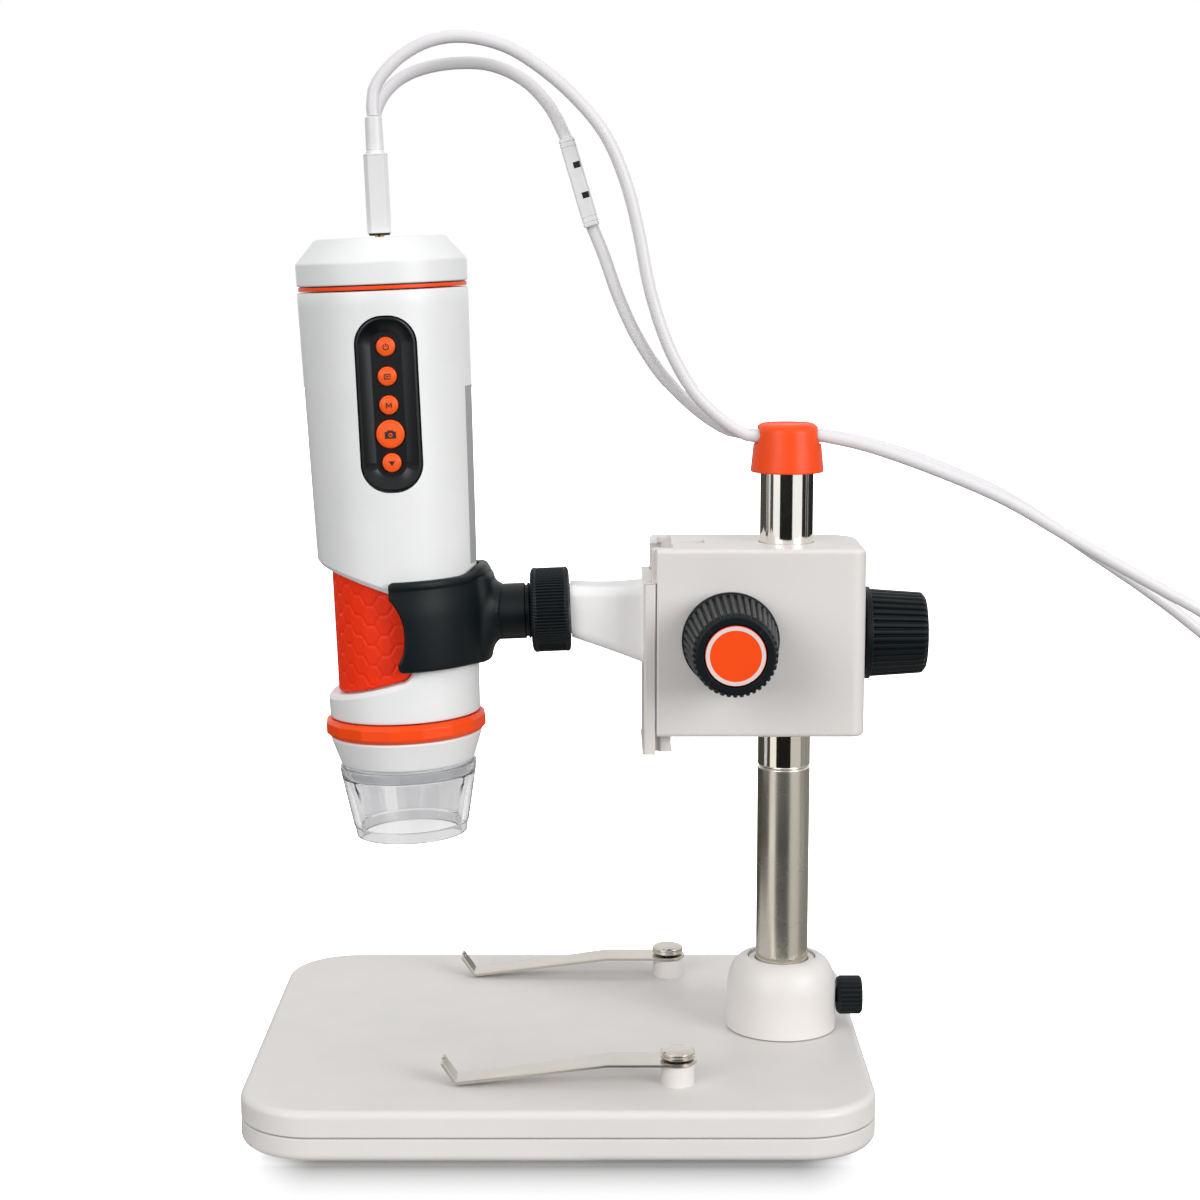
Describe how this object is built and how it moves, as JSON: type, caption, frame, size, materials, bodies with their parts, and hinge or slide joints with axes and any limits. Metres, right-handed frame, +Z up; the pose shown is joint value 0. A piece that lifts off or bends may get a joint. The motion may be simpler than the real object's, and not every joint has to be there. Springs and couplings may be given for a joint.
{
  "type": "usb digital microscope",
  "caption": "Handheld digital microscope clipped in a holder on a small rack-focus stand with a white base, stage clips, orange trim and two white leads.",
  "frame": {"origin": "centre of the bounding box in plan, on the surface the feet stand on; the two leads with their plugs, module, coils and connectors are left out of the box", "axes": "+Z up, -X from the post towards the microscope, -Y the side of the microscope's buttons"},
  "size_m": [0.4198, 0.125, 0.2595],
  "materials": {
    "stand_white": "satin moulded plastic",
    "head_white": "satin moulded plastic",
    "charcoal": "fine matt moulded plastic",
    "orange": "semi-gloss moulded plastic",
    "grip_rubber": "textured elastomer",
    "foot_rubber": "plain rubber",
    "satin_steel": "satin nickel plate",
    "bright_steel": "polished",
    "ballast": "raw plate",
    "brass": "machined",
    "black_metal": "black anodised",
    "board": "circuit board",
    "lens_glass": "polished",
    "clear_plastic": "clear moulded plastic",
    "cord": "soft cord jacket",
    "cord_plastic": "satin moulded plastic"
  },
  "bodies": {
    "base": {"base_top_shell": "stand_white", "base_bottom_plate": "stand_white", "base_weight": "ballast", "foot_front_left": "foot_rubber", "foot_front_right": "foot_rubber", "foot_rear_left": "foot_rubber", "foot_rear_right": "foot_rubber", "post_socket": "stand_white", "socket_liner": "stand_white", "post_lower": "satin_steel", "post_upper": "bright_steel", "post_cap": "orange", "clip_stud_front": "satin_steel", "clip_stud_rear": "satin_steel", "lead_front_arch": "cord", "lead_rear_lower": "cord", "lead_front_drop": "cord", "lead_rear_drop": "cord", "coil_front": "cord", "coil_rear": "cord", "connector_front": "cord_plastic", "connector_rear": "cord_plastic"},
    "height_bush": {"guide_bush": "brass"},
    "housing": {"focus_housing": "stand_white"},
    "lock_knob": {"height_lock_knob": "charcoal", "height_lock_screw": "satin_steel"},
    "focus_drive": {"pinion_shaft": "satin_steel", "focus_knob_front": "charcoal", "focus_knob_rear": "charcoal", "focus_knob_badge": "orange"},
    "focus_carriage": {"carriage": "stand_white", "focus_rack": "brass", "inline_module": "cord_plastic", "lead_rear_upper": "cord"},
    "clamp_nut": {"arm_nut": "charcoal"},
    "holder": {"holder_clip": "charcoal"},
    "microscope": {"body_shell": "head_white", "grip_pad": "grip_rubber", "trim_ring": "orange", "top_cap": "head_white", "button_panel": "charcoal", "main_board": "board", "sensor_board": "board", "nose_skirt": "head_white", "lamp_ring": "head_white", "plug_front": "cord_plastic", "plug_rear": "cord_plastic"},
    "power_button": {"button_power": "orange"},
    "play_button": {"button_play": "orange"},
    "mode_button": {"button_mode": "orange"},
    "capture_button": {"button_capture": "orange"},
    "down_button": {"button_down": "orange"},
    "focus_collar": {"focus_ring": "orange"},
    "lens_group": {"lens_barrel": "black_metal", "objective_lens": "lens_glass"},
    "tip": {"clear_tip": "clear_plastic"},
    "post_screw": {"post_lock_screw": "charcoal"},
    "front_leaf": {"clip_leaf_front": "satin_steel"},
    "rear_leaf": {"clip_leaf_rear": "satin_steel"}
  },
  "joints": [
    {"name": "height_slide", "type": "slide", "parent": "base", "child": "height_bush", "axis": [0, 0, 1], "range_m": [-0.032, 0.016], "deforming": ["lead_front_arch", "lead_rear_lower"]},
    {"name": "post_swivel", "type": "hinge", "parent": "height_bush", "child": "housing", "pos_m": [0.048, 0, 0.114], "axis": [0, 0, 1], "range_deg": [-90, 90], "deforming": ["lead_front_arch", "lead_rear_lower"]},
    {"name": "height_lock_turn", "type": "hinge", "parent": "housing", "child": "lock_knob", "pos_m": [0.048, 0, 0.114], "axis": [1, 0, 0], "range_deg": [-360, 360]},
    {"name": "focus_slide", "type": "slide", "parent": "housing", "child": "focus_carriage", "axis": [0, 0, 1], "range_m": [-0.006, 0.018], "deforming": ["lead_front_arch", "lead_rear_lower"]},
    {"name": "focus_knob_turn", "type": "hinge", "parent": "housing", "child": "focus_drive", "pos_m": [0.0334, 0, 0.1152], "axis": [0, 1, 0], "range_deg": [-62.51, 187.53]},
    {"name": "clamp_nut_turn", "type": "hinge", "parent": "focus_carriage", "child": "clamp_nut", "pos_m": [-0.04734, 0, 0.11825], "axis": [0.9991, 0, 0.0419], "range_deg": [-360, 360]},
    {"name": "holder_tilt", "type": "hinge", "parent": "focus_carriage", "child": "holder", "pos_m": [-0.04734, 0, 0.11825], "axis": [0.9991, 0, 0.0419], "range_deg": [-90, 90], "deforming": ["lead_front_arch", "lead_rear_upper"]},
    {"name": "microscope_turn", "type": "hinge", "parent": "holder", "child": "microscope", "pos_m": [-0.04734, 0, 0.11825], "axis": [-0.0419, 0, 0.9991], "range_deg": [-90, 90], "deforming": ["lead_front_arch", "lead_rear_upper"]},
    {"name": "power_press", "type": "slide", "parent": "microscope", "child": "power_button", "axis": [-0.0871, 0.9962, -0.0036], "range_m": [0, 0.0007], "stiffness_N_per_m": 900},
    {"name": "play_press", "type": "slide", "parent": "microscope", "child": "play_button", "axis": [-0.0871, 0.9962, -0.0036], "range_m": [0, 0.0007], "stiffness_N_per_m": 900},
    {"name": "mode_press", "type": "slide", "parent": "microscope", "child": "mode_button", "axis": [-0.0871, 0.9962, -0.0036], "range_m": [0, 0.0007], "stiffness_N_per_m": 900},
    {"name": "capture_press", "type": "slide", "parent": "microscope", "child": "capture_button", "axis": [-0.0871, 0.9962, -0.0036], "range_m": [0, 0.0007], "stiffness_N_per_m": 900},
    {"name": "down_press", "type": "slide", "parent": "microscope", "child": "down_button", "axis": [-0.0871, 0.9962, -0.0036], "range_m": [0, 0.0007], "stiffness_N_per_m": 900},
    {"name": "focus_ring_turn", "type": "hinge", "parent": "microscope", "child": "focus_collar", "pos_m": [-0.04734, 0, 0.11825], "axis": [-0.0419, 0, 0.9991], "range_deg": [-150.1, 150.1]},
    {"name": "lens_focus", "type": "slide", "parent": "microscope", "child": "lens_group", "axis": [-0.0419, 0, 0.9991], "range_m": [-0.0025, 0.0025]},
    {"name": "clear_tip_pull", "type": "slide", "parent": "microscope", "child": "tip", "axis": [0.0419, 0, -0.9991], "range_m": [0, 0.003]},
    {"name": "post_screw_turn", "type": "hinge", "parent": "base", "child": "post_screw", "pos_m": [0.048, 0, 0.021], "axis": [1, 0, 0], "range_deg": [-360, 360]},
    {"name": "front_leaf_turn", "type": "hinge", "parent": "base", "child": "front_leaf", "pos_m": [0.0204, -0.0425, 0.013], "axis": [0, 0, 1], "range_deg": [-40, 60]},
    {"name": "rear_leaf_turn", "type": "hinge", "parent": "base", "child": "rear_leaf", "pos_m": [0.0204, 0.0425, 0.013], "axis": [0, 0, 1], "range_deg": [-60, 40]}
  ],
  "couplings": [
    {"joint": "focus_knob_turn", "follows": "focus_slide", "rad_per_m": 181.82},
    {"joint": "focus_ring_turn", "follows": "lens_focus", "rad_per_m": 1047.2}
  ]
}
